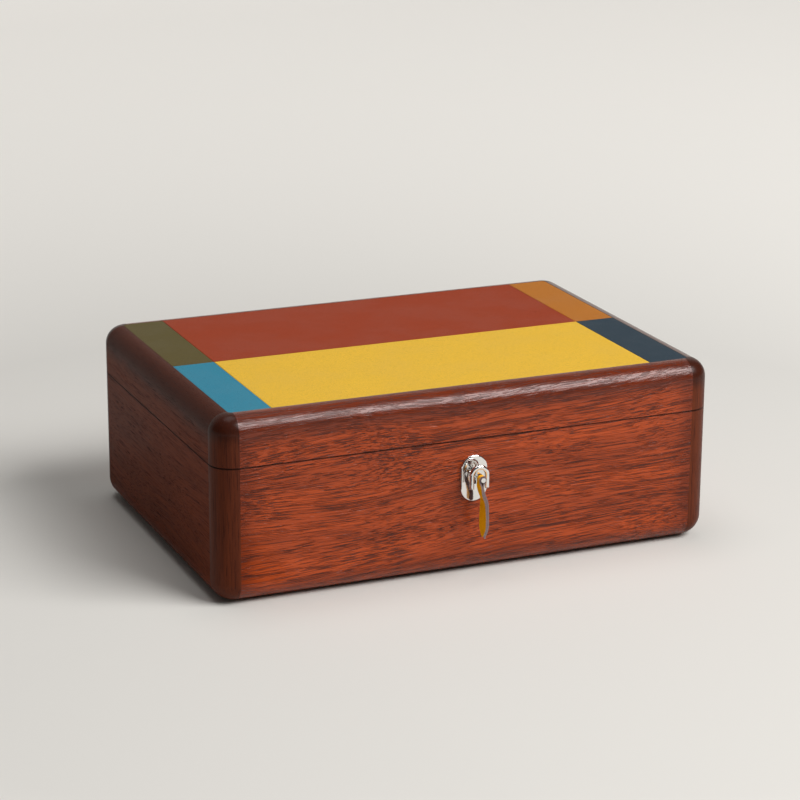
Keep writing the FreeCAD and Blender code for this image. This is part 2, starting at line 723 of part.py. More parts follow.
WALLS = {
    "front": (("0 - inner_x", "inner_x"), ("0 - half_depth", "0 - inner_y")),
    "back": (("0 - inner_x", "inner_x"), ("inner_y", "half_depth")),
    "left": (("0 - half_length", "0 - inner_x"), ("0 - inner_y", "inner_y")),
    "right": (("inner_x", "half_length"), ("0 - inner_y", "inner_y")),
}
POSTS = {
    "front_left": (WALLS["left"][0], WALLS["front"][1]),
    "front_right": (WALLS["right"][0], WALLS["front"][1]),
    "back_left": (WALLS["left"][0], WALLS["back"][1]),
    "back_right": (WALLS["right"][0], WALLS["back"][1]),
}


def make_wood(layer, carcass, level, always, at_back, at_front):
    """The four walls and four corner posts of the base or the lid."""
    for name, (x, y) in list(WALLS.items()) + list(POSTS.items()):
        kind = "_wall_" if name in WALLS else "_post_"
        label = layer + kind + name
        blank = common(label + "_round", carcass, block(label + "_blank", x, y, level))
        tools = list(always)
        if "back" in name:
            tools += at_back[:1] if name in POSTS else at_back
        if name == "front":
            tools += at_front
        node(cut(label, blank, tools), label)


def make_lining(layer, level, windows):
    """Thin panels against the four walls."""
    for name, (x, y) in WALLS.items():
        inset = {
            "front": (x, (y[1], y[1] + " + lining")),
            "back": (x, (y[0] + " - lining", y[0])),
            "left": ((x[1], x[1] + " + lining"), (y[0] + " + lining", y[1] + " - lining")),
            "right": ((x[0] + " - lining", x[0]), (y[0] + " + lining", y[1] + " - lining")),
        }[name]
        label = "%s_lining_%s" % (layer, name)
        panel = block(label + "_blank", inset[0], inset[1], level)
        if name == "front" and windows:
            panel = cut(label, panel, windows)
        node(panel, label)


def make_box(carcass, keyhole, case_pocket):
    """The wood, the boards, the linings and the pad under the base."""
    rebate = "bottom_rebate"
    board_x = around("0", "inner_x + " + rebate)
    board_y = around("0", "inner_y + " + rebate)
    board = block("bottom_blank", board_x, board_y, ("pad_thick", "floor_top"))
    node(common("bottom_board", carcass, board), "bottom_board")
    recess_x, recess_y = "(half_length - inlay_border)", "(half_depth - inlay_border)"
    recess = rounded_slab("top_recess", recess_x, recess_y,
                          ("board_under", "box_height + wall"), "inlay_corner")
    node(rounded_slab("lid_board", recess_x, recess_y, ("board_under", "board_top"),
                      "inlay_corner"), "lid_board")
    make_wood("base", carcass, ("pad_thick", "rim"), [board],
              [back_bevel("base_bevel", False)] + base_holes,
              [keyhole, case_pocket] + base_holes)
    make_wood("lid", carcass, ("lid_rim", "box_height"), [recess],
              [back_bevel("lid_bevel", True)] + lid_holes, lid_holes)
    floor = ("floor_top", "floor_top + lining")
    node(block("base_lining_floor", around("0", "inner_x"), around("0", "inner_y"), floor),
         "base_lining_floor")
    make_lining("base", (floor[1], "rim - lining_reveal"), [case_pocket])
    ceiling = ("board_under - lining", "board_under")
    node(block("lid_lining_top", around("0", "inner_x"), around("0", "inner_y"), ceiling),
         "lid_lining_top")
    make_lining("lid", ("lid_rim + lining_reveal", ceiling[0]), [])
    edge = "(foot_round + pad_margin)"
    node(rounded_slab("foot_pad", "(half_length - %s)" % edge, "(half_depth - %s)" % edge,
                      ("0", "pad_thick"), "pad_corner"), "foot_pad")


def make_leather_top():
    """Six pieces of leather in two rows and three columns, cut from one rounded sheet."""
    edge_x, edge_y = "(half_length - inlay_border)", "(half_depth - inlay_border)"
    whole = rounded_slab("leather_whole", edge_x, edge_y, ("board_top", "box_height"),
                         "inlay_corner")
    joint = "inlay_joint / 2"
    near = "(half_length - inlay_border - side_column)"
    far = "(half_length + wall)"
    columns = {
        "left": ("0 - " + far, "0 - %s - %s" % (near, joint)),
        "middle": ("0 - %s + %s" % (near, joint), "%s - %s" % (near, joint)),
        "right": ("%s + %s" % (near, joint), far),
    }
    rows = {"front": ("0 - half_depth - wall", "0 - " + joint), "back": (joint, "half_depth + wall")}
    for row, depth in rows.items():
        for column, across in columns.items():
            label = "leather_%s_%s" % (row, column)
            piece = block(label + "_blank", across, depth, ("board_under", "box_height + wall"))
            node(common(label, whole, piece), label)


carcass = make_carcass()
keyhole = make_keyhole()
make_hinges()
make_keyhole_plate(keyhole)
case_pocket = make_lock_case(keyhole)
make_top_plate()
make_strike()
make_bolt()
make_spring()
make_key()
make_strap()
make_box(carcass, keyhole, case_pocket)
make_leather_top()
document.recompute()

for thing in document.Objects:
    if "Invalid" in thing.State or "Error" in thing.State:
        raise RuntimeError("%s did not build: %s" % (thing.Label, thing.State))
os.makedirs("parts", exist_ok=True)
for thing in nodes:
    if thing.Shape.isNull() or not thing.Shape.isValid() or not thing.Shape.Solids:
        raise RuntimeError("%s has no sound shape" % thing.Label)
    thing.Shape.exportStep(os.path.join("parts", thing.Label + ".step"))
    print("%-28s %2d solids %12.1f mm3" % (thing.Label, len(thing.Shape.Solids), thing.Shape.Volume))
print(len(nodes), "sub-parts")
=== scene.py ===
# %% [markdown]
# A keepsake box with an inlaid leather top
#
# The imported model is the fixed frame: it gives every solid in metres, at rest, on the body that
# moves it. Here each of them gets its finish, and the soft pieces are made again as leather.

# %% Load the frame
import math

import bpy
from mathutils import Matrix, Vector
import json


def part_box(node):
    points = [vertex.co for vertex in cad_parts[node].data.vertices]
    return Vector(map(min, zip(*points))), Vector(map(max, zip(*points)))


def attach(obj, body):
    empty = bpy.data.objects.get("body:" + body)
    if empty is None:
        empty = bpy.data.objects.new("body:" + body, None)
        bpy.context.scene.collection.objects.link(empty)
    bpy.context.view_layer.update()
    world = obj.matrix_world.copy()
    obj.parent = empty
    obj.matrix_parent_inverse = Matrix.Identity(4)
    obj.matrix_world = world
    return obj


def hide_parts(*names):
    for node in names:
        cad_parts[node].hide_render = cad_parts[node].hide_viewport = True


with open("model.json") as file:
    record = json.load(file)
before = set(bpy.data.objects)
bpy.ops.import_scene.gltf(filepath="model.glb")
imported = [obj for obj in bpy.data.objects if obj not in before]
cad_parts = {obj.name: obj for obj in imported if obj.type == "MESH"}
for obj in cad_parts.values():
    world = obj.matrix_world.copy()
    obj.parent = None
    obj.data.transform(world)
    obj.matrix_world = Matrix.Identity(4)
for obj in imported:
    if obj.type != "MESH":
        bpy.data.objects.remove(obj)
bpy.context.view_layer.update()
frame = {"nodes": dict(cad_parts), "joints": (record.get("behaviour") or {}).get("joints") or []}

nodes = frame["nodes"]
frame_joint = {joint["name"]: joint for joint in frame["joints"]}

# %% [markdown]
# The camera
#
# The photograph was taken from a little above and to the left with a long lens, so the long edges
# hardly converge. The camera could be put there by eye, but these values were solved from the
# places of the box's edges, and most of those come out within half a pixel.

# %% Camera
AIM = Vector((0.000284, 0.0, 0.07834))
AZIMUTH, ELEVATION, ROLL = map(math.radians, (-23.171, 17.266, 0.343))
DISTANCE = 1.69403
LENS_IN_PIXELS, PICTURE = 2623.41, 800
SENSOR_WIDTH, NEAREST, FARTHEST = 36.0, 0.05, 60.0


def place_camera():
    """Puts the camera on its arm behind the aim point, looking back along the arm."""
    back = Vector((
        math.sin(AZIMUTH) * math.cos(ELEVATION),
        -math.cos(AZIMUTH) * math.cos(ELEVATION),
        math.sin(ELEVATION),
    ))
    right = Vector((0, 0, 1)).cross(back).normalized()
    up = back.cross(right)
    turned_right = right * math.cos(ROLL) + up * math.sin(ROLL)
    turned_up = up * math.cos(ROLL) - right * math.sin(ROLL)
    camera = bpy.data.objects.new("camera", bpy.data.cameras.new("camera"))
    axes = Matrix((turned_right, turned_up, back)).transposed().to_4x4()
    camera.matrix_world = Matrix.Translation(AIM + back * DISTANCE) @ axes
    camera.data.sensor_width = SENSOR_WIDTH
    camera.data.lens = LENS_IN_PIXELS * SENSOR_WIDTH / PICTURE
    camera.data.clip_start, camera.data.clip_end = NEAREST, FARTHEST
    bpy.context.scene.collection.objects.link(camera)
    bpy.context.scene.camera = camera
    return camera


camera = place_camera()
print("lens:", round(camera.data.lens, 2), "mm")

# %% [markdown]
# Building with nodes
#
# A finish is a small circuit of nodes. Written out in full each one would fill pages, so a few
# helpers take up what repeats: adding a node and filling its sockets, one step of arithmetic,
# stretching a range, mixing two colours, and starting or placing a group with named sockets.

# %% Node helpers
def feed(tree, socket, value):
    """Links a value that comes out of another node, or sets a plain one."""
    if isinstance(value, bpy.types.NodeSocket):
        tree.links.new(value, socket)
    else:
        socket.default_value = value


def add(tree, kind, settings=None, **sockets):
    """Adds a node; a socket is named by its label with _ for a space, or by its number."""
    node = tree.nodes.new("ShaderNode" + kind)
    for name, value in (settings or {}).items():
        setattr(node, name, value)
    for name, value in sockets.items():
        known = name.replace("_", " ").strip()
        feed(tree, node.inputs[int(known)] if known.isdigit() else node.inputs[known], value)
    return node


def sums(tree, operation, *values):
    """One step of arithmetic."""
    node = tree.nodes.new("ShaderNodeMath")
    node.operation = operation
    for socket, value in zip(node.inputs, values):
        feed(tree, socket, value)
    return node.outputs[0]


def between(tree, value, low, high, to_low=0.0, to_high=1.0):
    """Stretches a value from one range to another, clamped and eased."""
    node = add(tree, "MapRange", {"interpolation_type": "SMOOTHSTEP"}, Value=value,
               From_Min=low, From_Max=high, To_Min=to_low, To_Max=to_high)
    return node.outputs[0]


def mixed(tree, mask, first, second):
    """Mixes two colours by a mask."""
    node = tree.nodes.new("ShaderNodeMix")
    node.data_type = "RGBA"
    feed(tree, node.inputs[0], mask)
    for socket, colour in ((node.inputs[6], first), (node.inputs[7], second)):
        feed(tree, socket, (*colour, 1.0) if isinstance(colour, tuple) else colour)
    return node.outputs[2]


def new_group(name, takes, gives):
    """Starts a group; takes names its inputs with their values, gives names its outputs."""
    tree = bpy.data.node_groups.new(name, "ShaderNodeTree")
    for label, value in takes.items():
        kind = "NodeSocketVector" if value == "vector" else "NodeSocketFloat"
        socket = tree.interface.new_socket(name=label, in_out="INPUT", socket_type=kind)
        if kind == "NodeSocketFloat":
            socket.default_value = value
    for label in gives:
        tree.interface.new_socket(name=label, in_out="OUTPUT", socket_type="NodeSocketFloat")
    inside, outside = tree.nodes.new("NodeGroupInput"), tree.nodes.new("NodeGroupOutput")
    return tree, inside.outputs, outside.inputs


def use(tree, group, **sockets):
    """Places a group in a material and fills its sockets."""
    node = tree.nodes.new("ShaderNodeGroup")
    node.node_tree = group
    for name, value in sockets.items():
        feed(tree, node.inputs[name.replace("_", " ")], value)
    return node.outputs


def new_material(name):
    """A material with its Principled shader, ready for its circuit."""
    material = bpy.data.materials.new(name)
    material.use_nodes = True
    tree = material.node_tree
    return material, tree, tree.nodes["Principled BSDF"]


def bump(tree, shader, height, depth):
    """Feeds a height of 0 to 1 to the shader's normal as relief of this depth in metres."""
    node = add(tree, "Bump", Height=height, Strength=1.0, Distance=depth)
    tree.links.new(node.outputs[0], shader.inputs["Normal"])


print("node helpers ready")

# %% [markdown]
# Mahogany under a satin lacquer
#
# The walls are red-brown timber with open pores: short dark dashes that lie along the grain, in
# drifts, over broad bands of lighter and darker wood. An image could carry them, but noise that
# is stretched along the grain gives them at their true size on every wall, with no seams.

# %% Wood grain group
# How often each noise turns over in a metre: along the grain, and across it.
BROAD, FINE, DRIFT = (4.0, 70.0), (16.0, 700.0), (12.0, 150.0)
LONG_PORES, SHORT_PORES = (25.0, 2400.0), (70.0, 2600.0)
DARK_LINES, SURFACE = (11.0, 1500.0), (55.0, 900.0)
BENDS, BEND_SIZE = (5.5, 13.0, 13.0), 0.024
# The level of noise above which the wood is open, and how softly a pore begins and ends.
PORE_LEVEL, PORE_SOFT, PORE_SOFTER = 0.65, 0.05, 0.12
LINE_STRENGTH = 0.62


def wood_grain_group():
    """Bands, pores and relief of open-pored wood; X runs along the grain, in metres."""
    tree, takes, gives = new_group(
        "Wood Grain", {"Vector": "vector", "Waviness": 1.0, "Pore Cover": 0.5},
        ("Bands", "Pores", "Height"))
    spread = add(tree, "VectorMath", {"operation": "MULTIPLY"}, _0=takes["Vector"], _1=BENDS)
    bend = add(tree, "TexNoise", Vector=spread.outputs[0], Scale=1.0, Detail=1.0)
    centred = add(tree, "VectorMath", {"operation": "SUBTRACT"},
                  _0=bend.outputs["Color"], _1=(0.5, 0.5, 0.5))
    by = sums(tree, "MULTIPLY", takes["Waviness"], BEND_SIZE)
    shift = add(tree, "VectorMath", {"operation": "SCALE"}, _0=centred.outputs[0], Scale=by)
    flow = add(tree, "VectorMath", {"operation": "ADD"}, _0=takes["Vector"], _1=shift.outputs[0])

    def along(stretch, detail, roughness=0.5):
        lengthwise, across = stretch
        scaled = add(tree, "VectorMath", {"operation": "MULTIPLY"},
                     _0=flow.outputs[0], _1=(lengthwise, across, across))
        return add(tree, "TexNoise", Vector=scaled.outputs[0], Scale=1.0, Detail=detail,
                   Roughness=roughness).outputs["Fac"]

    broad = between(tree, along(BROAD, 3.0), 0.32, 0.68)
    fine = between(tree, along(FINE, 3.0), 0.30, 0.70)
    tree.links.new(
        sums(tree, "ADD", sums(tree, "MULTIPLY", broad, 0.55), sums(tree, "MULTIPLY", fine, 0.45)),
        gives["Bands"])
    drift = between(tree, along(DRIFT, 2.0), 0.30, 0.70)
    cover = sums(tree, "MULTIPLY", takes["Pore Cover"],
                 sums(tree, "MULTIPLY_ADD", drift, 0.10, 0.02))
    edge = sums(tree, "SUBTRACT", PORE_LEVEL, cover)
    soft_edge = sums(tree, "ADD", edge, PORE_SOFT)
    long_pores = between(tree, along(LONG_PORES, 1.0), edge, soft_edge)
    short_pores = between(tree, along(SHORT_PORES, 1.0, 0.4), soft_edge,
                          sums(tree, "ADD", edge, PORE_SOFTER))
    lines = between(tree, along(DARK_LINES, 1.0), 0.585, 0.64)
    lines = sums(tree, "MULTIPLY", sums(tree, "MULTIPLY", lines, LINE_STRENGTH),
                 takes["Pore Cover"])
    pores = sums(tree, "MAXIMUM", sums(tree, "MAXIMUM", long_pores, short_pores), lines)
    tree.links.new(pores, gives["Pores"])
    open_wood = sums(tree, "MULTIPLY", sums(tree, "SUBTRACT", 1.0, pores), 0.5)
    tree.links.new(sums(tree, "MULTIPLY_ADD", along(SURFACE, 2.0), 0.5, open_wood),
                   gives["Height"])
    return tree


wood_grain = wood_grain_group()
print("group:", wood_grain.name)


# %% [markdown]
# Shaded edges
#
# The polish is darker where the box turns over at the top and at the foot, and a fine dark line
# follows the saw cut between lid and base. They could be painted on, but here they are worked out
# from where a point lies on the shut box, so they stay on the wood when the lid is opened.

# %% Shaded edge group
RAGGED, TOP_FULL, END_FADE = 0.006, 0.009, 0.016


def shaded_edge_group():
    """Masks for the darker polish at top, foot and wall ends, and for the line at the saw cut."""
    tree, takes, gives = new_group(
        "Shaded Edge", {"Vector": "vector", "Top": 0.118, "Top Fade": 0.02, "Foot": 0.012,
                        "Cut": 0.0868, "Cut Line": 0.0005, "End": 0.1505},
        ("Top Shade", "Foot Shade", "Cut Shade", "End Shade"))
    place = add(tree, "SeparateXYZ", Vector=takes["Vector"]).outputs
    ragged = add(tree, "TexNoise", Vector=takes["Vector"], Scale=55.0, Detail=2.0).outputs["Fac"]
    wander = sums(tree, "MULTIPLY", sums(tree, "SUBTRACT", ragged, 0.5), RAGGED)
    level = sums(tree, "ADD", place["Z"], wander)
    top = between(tree, level, sums(tree, "SUBTRACT", takes["Top"], takes["Top Fade"]),
                  sums(tree, "SUBTRACT", takes["Top"], TOP_FULL))
    foot = between(tree, level, 0.0, sums(tree, "MULTIPLY", takes["Foot"], 2.0), 1.0, 0.0)
    outward = sums(tree, "ADD", sums(tree, "ABSOLUTE", place["X"]), wander)
    end = between(tree, outward, sums(tree, "SUBTRACT", takes["End"], END_FADE), takes["End"])
    off = sums(tree, "ABSOLUTE", sums(tree, "SUBTRACT", place["Z"], takes["Cut"]))
    cut = between(tree, off, sums(tree, "MULTIPLY", takes["Cut Line"], 0.6),
                  sums(tree, "MULTIPLY", takes["Cut Line"], 1.5), 1.0, 0.0)
    for label, mask in (("Top", top), ("Foot", foot), ("End", end), ("Cut", cut)):
        tree.links.new(mask, gives[label + " Shade"])
    return tree


shaded_edge = shaded_edge_group()
print("group:", shaded_edge.name)

# %% [markdown]
# The walls, posts and boards
#
# One finish for all would be simpler, but the grain has to run along each wall and up each post,
# and the posts are darker wood. The end walls are darker too: partly darker timber and partly
# painted shade, as the left wall lies in shade. So one recipe is mixed six times. The left wall is
# nearly matt and the right one is not, which matches how dark the left side is in the photograph.

# %% Mahogany
TONED = (0.34, 0.30, 0.32)
CUT_COLOUR = (0.012, 0.005, 0.004)
PORE_STRENGTH, CUT_STRENGTH, FOOT_STRENGTH, END_STRENGTH = 0.85, 0.9, 0.12, 0.6
PORE_ROUGHER, LACQUER_ROUGHNESS = 0.2, 0.22


def mahogany(name, turn, light, dark, pore, offset, cover=1.0, waviness=1.0, roughness=0.30,
             edge_tone=0.8, gloss=0.30, polish=0.03, edge_polish=0.15, end=9.0, relief=0.00045):
    """Lacquered mahogany; turn brings the grain's own direction on to X.

    The polish and the toning grow towards the top by edge_polish and edge_tone, and the wood is
    toned from end metres outward, which for most pieces is beyond their length.
    """
    material, tree, shader = new_material(name)
    at = add(tree, "TexCoord").outputs["Object"]
    grain = add(tree, "Mapping", Vector=at, Rotation=tuple(map(math.radians, turn)), Location=offset)
    found = use(tree, wood_grain, Vector=grain.outputs[0], Waviness=waviness, Pore_Cover=cover)
    wood = mixed(tree, found["Bands"], dark, light)
    wood = mixed(tree, sums(tree, "MULTIPLY", found["Pores"], PORE_STRENGTH), wood, pore)
    shade = use(tree, shaded_edge, Vector=at, End=end)
    facing = add(tree, "SeparateXYZ", Vector=add(tree, "TexCoord").outputs["Normal"]).outputs["Z"]
    outside = between(tree, sums(tree, "ABSOLUTE", facing), 0.5, 0.9, 1.0, 0.0)
    toned = tuple(shaded * part for shaded, part in zip(TONED, dark))
    for label, strength in (("Top", edge_tone), ("Foot", FOOT_STRENGTH), ("End", END_STRENGTH)):
        mask = sums(tree, "MULTIPLY", shade[label + " Shade"], strength)
        wood = mixed(tree, mask, wood, toned)
    cut_line = sums(tree, "MULTIPLY", sums(tree, "MULTIPLY", shade["Cut Shade"], outside),
                    CUT_STRENGTH)
    tree.links.new(mixed(tree, cut_line, wood, CUT_COLOUR), shader.inputs["Base Color"])
    tree.links.new(between(tree, found["Pores"], 0.0, 1.0, roughness, roughness + PORE_ROUGHER),
                   shader.inputs["Roughness"])
    shader.inputs["Specular IOR Level"].default_value = gloss
    tree.links.new(sums(tree, "MULTIPLY_ADD", shade["Top Shade"], edge_polish, polish),
                   shader.inputs["Coat Weight"])
    shader.inputs["Coat Roughness"].default_value = LACQUER_ROUGHNESS
    bump(tree, shader, found["Height"], relief)
    return material


PANEL, PORE = ((0.455, 0.066, 0.011), (0.26, 0.037, 0.007)), (0.032, 0.007, 0.005)
# The end walls' colours: darker timber, with painted shade for the left wall, which lies in shade.
END_WOOD_WITH_PAINTED_SHADE = (0.175, 0.030, 0.006), (0.115, 0.021, 0.005)
POST = (0.130, 0.030, 0.012), (0.080, 0.020, 0.010)
BOARD, BOARD_PORE = ((0.33, 0.15, 0.075), (0.24, 0.10, 0.05)), (0.10, 0.05, 0.03)
WALL_END = 0.1505
FRONT_TURN, SIDE_TURN, UPRIGHT_TURN = (0, 3, 0), (0, 0, 90), (0, 90, 0)
woods = {
    "front": mahogany("mahogany_front", FRONT_TURN, *PANEL, PORE, (0.74, 0.3, 0.16),
                      roughness=0.20, end=WALL_END),
    "back": mahogany("mahogany_back", FRONT_TURN, *PANEL, PORE, (0.83, 0, 0.11),
                     roughness=0.20, end=WALL_END),
    "left": mahogany("mahogany_left", SIDE_TURN, *END_WOOD_WITH_PAINTED_SHADE, PORE, (0.11, 0.2, 0.05), cover=0.6,
                     gloss=0.015, polish=0.0, edge_polish=0.06, relief=0.0001),
    "right": mahogany("mahogany_right", SIDE_TURN, *END_WOOD_WITH_PAINTED_SHADE, PORE, (0.57, 0.4, 0.09), cover=0.6,
                      gloss=0.10, polish=0.0, edge_polish=0.5, relief=0.0001),
    "post": mahogany("mahogany_post", UPRIGHT_TURN, *POST, PORE, (0, 0, 0.3), cover=0.5,
                     waviness=0.3, gloss=0.06, polish=0.02, edge_polish=0.12, relief=0.0001),
    "board": mahogany("mahogany_board", (0, 0, 0), *BOARD, BOARD_PORE, (0.2, 0.7, 0), cover=0.6,
                      waviness=0.6, roughness=0.55, relief=0.0001),
}
print("woods:", ", ".join(woods))


def dress(material, *names):
    """Gives these solids the material in every slot they have."""
    for name in names:
        for slot in nodes[name].material_slots:
            slot.material = material


for part in ("base", "lid"):
    for side in ("front", "back", "left", "right"):
        dress(woods[side], f"{part}_wall_{side}")
    for end in ("front", "back"):
        dress(woods["post"], f"{part}_post_{end}_left", f"{part}_post_{end}_right")
dress(woods["board"], "bottom_board", "lid_board")

# %% [markdown]
# Leather
#
# The top is laid with six pieces of fine-grained leather. Each could stay the flat slab of the
# frame, but a knife-cut hide has a softly turned edge, so each panel is made again from the
# outline of its slab, with that edge and a grain of small cells between creases.

# %% Leather grain group
CELL_WARP, CREASE_REACH = 0.0012, 0.16


def leather_grain_group():
    """Cells, creases and slow mottling of a fine hide; positions in metres."""
    tree, takes, gives = new_group(
        "Leather Grain", {"Vector": "vector", "Cells per Metre": 900.0},
        ("Height", "Creases", "Mottle"))
    warp = add(tree, "TexNoise", Vector=takes["Vector"], Scale=400.0, Detail=2.0)
    nudge = add(tree, "VectorMath", {"operation": "SCALE"},
                _0=warp.outputs["Color"], Scale=CELL_WARP)
    moved = add(tree, "VectorMath", {"operation": "ADD"}, _0=takes["Vector"], _1=nudge.outputs[0])
    cells = add(tree, "TexVoronoi", {"feature": "DISTANCE_TO_EDGE"}, Vector=moved.outputs[0],
                Scale=takes["Cells per Metre"]).outputs["Distance"]
    creases = between(tree, cells, 0.0, CREASE_REACH, 1.0, 0.0)
    fold = add(tree, "TexNoise", Vector=takes["Vector"], Scale=160.0, Detail=3.0).outputs["Fac"]
    height = sums(tree, "ADD", sums(tree, "MULTIPLY", sums(tree, "SUBTRACT", 1.0, creases), 0.7),
                  sums(tree, "MULTIPLY", fold, 0.3))
    tree.links.new(height, gives["Height"])
    tree.links.new(creases, gives["Creases"])
    mottle = add(tree, "TexNoise", Vector=takes["Vector"], Scale=26.0, Detail=4.0).outputs["Fac"]
    tree.links.new(between(tree, mottle, 0.3, 0.7), gives["Mottle"])
    return tree


leather_grain = leather_grain_group()
HIDE_GLOSS, FADED = 0.07, 0.94


def leather(name, colour, depth=0.0001, cells=850.0, roughness=0.6, shade=0.76):
    """Dyed leather in one colour, with painted shade in its creases."""
    material, tree, shader = new_material(name)
    at = add(tree, "TexCoord").outputs["Object"]
    found = use(tree, leather_grain, Vector=at, Cells_per_Metre=cells)
    # The creases get painted shade: the dye darkened as if shade fell in them.
    deep = tuple(shade * part for part in colour)
    body = mixed(tree, found["Mottle"], tuple(FADED * part for part in colour), colour)
    tree.links.new(mixed(tree, found["Creases"], body, deep), shader.inputs["Base Color"])
    tree.links.new(between(tree, found["Mottle"], 0.0, 1.0, roughness - 0.05, roughness + 0.05),
                   shader.inputs["Roughness"])
    shader.inputs["Specular IOR Level"].default_value = HIDE_GLOSS
    bump(tree, shader, found["Height"], depth)
    return material


print("group:", leather_grain.name)

# %% Leather panels
EDGE, CORNER = 0.00035, 0.0025
ARC_STEPS = 8
SHARP_FROM = math.radians(50)


def outline(low, high, rounded, radius):
    """Corners of a rectangle, anticlockwise; the one named in rounded is turned at this radius."""
    corners = {"front_left": (low.x, low.y, 180), "front_right": (high.x, low.y, 270),
               "back_right": (high.x, high.y, 0), "back_left": (low.x, high.y, 90)}
    points = []
    for place, (x, y, start) in corners.items():
        if place != rounded or radius <= 0:
            points.append((x, y))
            continue
        centre_x = x + radius * (1 if "left" in place else -1)
        centre_y = y + radius * (1 if "front" in place else -1)
        for step in range(ARC_STEPS + 1):
            angle = math.radians(start + 90 * step / ARC_STEPS)
            points.append((centre_x + radius * math.cos(angle),
                           centre_y + radius * math.sin(angle)))
    return points


def leather_panel(name, rounded, material):
    """A slab with a softly turned upper edge, in the place of the frame's flat one."""
    low, high = (Vector(corner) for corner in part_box(name))
    rings = []
    steps = ((0, high.z - low.z), (0, EDGE), (0.3 * EDGE, 0.3 * EDGE), (EDGE, 0), (2 * EDGE, 0))
    for inset, drop in steps:
        ring = outline(low + Vector((inset, inset, 0)), high - Vector((inset, inset, 0)), rounded,
                       CORNER - inset)
        rings.append([(x, y, high.z - drop) for x, y in ring])
    count, last = len(rings[0]), len(rings) - 1
    faces = [tuple(reversed(range(count))), tuple(range(last * count, (last + 1) * count))]
    for row in range(last):
        for step in range(count):
            after = (step + 1) % count
            faces.append((row * count + step, row * count + after,
                          (row + 1) * count + after, (row + 1) * count + step))
    mesh = bpy.data.meshes.new("panel_" + name)
    mesh.from_pydata([point for ring in rings for point in ring], [], faces)
    mesh.shade_smooth()
    mesh.set_sharp_from_angle(angle=SHARP_FROM)
    panel = bpy.data.objects.new("panel_" + name, mesh)
    bpy.context.scene.collection.objects.link(panel)
    mesh.materials.append(material)
    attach(panel, "lid")
    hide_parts(name)


DYES = {
    "leather_back_left": ("back_left", "olive", (0.104, 0.081, 0.028)),
    "leather_front_left": ("front_left", "teal", (0.036, 0.222, 0.322)),
    "leather_back_middle": ("", "red", (0.300, 0.044, 0.015)),
    "leather_front_middle": ("", "yellow", (0.775, 0.465, 0.047)),
    "leather_back_right": ("back_right", "tan", (0.448, 0.160, 0.025)),
    "leather_front_right": ("front_right", "navy", (0.029, 0.047, 0.064)),
}
for name, (rounded, dye, colour) in DYES.items():
    leather_panel(name, rounded, leather("leather_" + dye, colour))
print("leather panels:", len(DYES))

# %% [markdown]
# Metal
#
# The keyhole plate and the key are polished and plated, so they show the studio and the wood in
# bands. A plain mirror would be simpler, but it looks false on a thing that was buffed by hand,
# so the finish has a slight ripple and fine rubbing.

# %% Metals
RUBBING, RUB_DEPTH, RUB_TINT = 0.06, 0.000004, 0.93


def metal(name, colour, roughness, flow=0.0):
    """Bright metal with fine rubbing; flow is the depth of the slow waves left by polishing."""
    material, tree, shader = new_material(name)
    at = add(tree, "TexCoord").outputs["Object"]
    rubbed = add(tree, "TexNoise", Vector=at, Scale=900.0, Detail=4.0).outputs["Fac"]
    shader.inputs["Metallic"].default_value = 1.0
    dull = tuple(RUB_TINT * part for part in colour)
    tree.links.new(mixed(tree, between(tree, rubbed, 0.3, 0.7), dull, colour),
                   shader.inputs["Base Color"])
    tree.links.new(between(tree, rubbed, 0.35, 0.75, roughness, roughness + RUBBING),
                   shader.inputs["Roughness"])
    waves = add(tree, "TexNoise", Vector=at, Scale=240.0, Detail=1.0).outputs["Fac"]
    relief = sums(tree, "ADD", sums(tree, "MULTIPLY", waves, flow),
                  sums(tree, "MULTIPLY", rubbed, RUB_DEPTH))
    bump(tree, shader, relief, 1.0)
    return material


bright = metal("polished_nickel", (0.88, 0.87, 0.85), 0.07, flow=0.00002)
key_metal = metal("hand_polished_nickel", (0.86, 0.85, 0.84), 0.07, flow=0.00025)
steel = metal("satin_steel", (0.62, 0.61, 0.59), 0.26)
hinge_steel = metal("brushed_hinge_steel", (0.58, 0.57, 0.55), 0.34)
dress(bright, "keyhole_plate")
dress(key_metal, "key")
for name, solid in nodes.items():
    slots = [slot.material.name.split(".")[0] for slot in solid.material_slots]
    if "hinge_metal" in slots or "screw_metal" in slots:
        dress(hinge_steel, name)
    elif "lock_metal" in slots:
        dress(steel, name)
print("metals:", bright.name, key_metal.name, steel.name, hinge_steel.name)

# %% [markdown]
# Suede and felt
#
# Inside, walls and floor are covered in tan suede, and a dark felt pad is glued below; neither
# shows in the photograph. The frame's boards could be kept as they are, but hide and felt go
# softly round an edge, so each board is copied and its edges are turned over.

# %% Suede and felt
NAP_ROUGHNESS, NAP_SHEEN, NAP_SHADE = 0.9, 0.25, 0.78


def napped(name, colour, scale, depth):
    """A short nap that lies in patches."""
    material, tree, shader = new_material(name)
    at = add(tree, "TexCoord").outputs["Object"]
    nap = add(tree, "TexNoise", Vector=at, Scale=scale, Detail=5.0, Roughness=0.7).outputs["Fac"]
    patch = add(tree, "TexNoise", Vector=at, Scale=22.0, Detail=3.0).outputs["Fac"]
    shade = sums(tree, "ADD", sums(tree, "MULTIPLY", nap, 0.5), sums(tree, "MULTIPLY", patch, 0.5))
    deep = tuple(NAP_SHADE * part for part in colour)
    tree.links.new(mixed(tree, between(tree, shade, 0.35, 0.65), deep, colour),
                   shader.inputs["Base Color"])
    shader.inputs["Roughness"].default_value = NAP_ROUGHNESS
    shader.inputs["Sheen Weight"].default_value = NAP_SHEEN
    bump(tree, shader, nap, depth)
    return material


suede = napped("suede_lining", (0.42, 0.30, 0.20), 1400.0, 0.00015)
felt = napped("pad_felt_dark", (0.10, 0.08, 0.07), 1100.0, 0.0003)
BOARD_EDGE, PAD_EDGE = 0.0004, 0.0003
TURNED_FROM = math.radians(40)


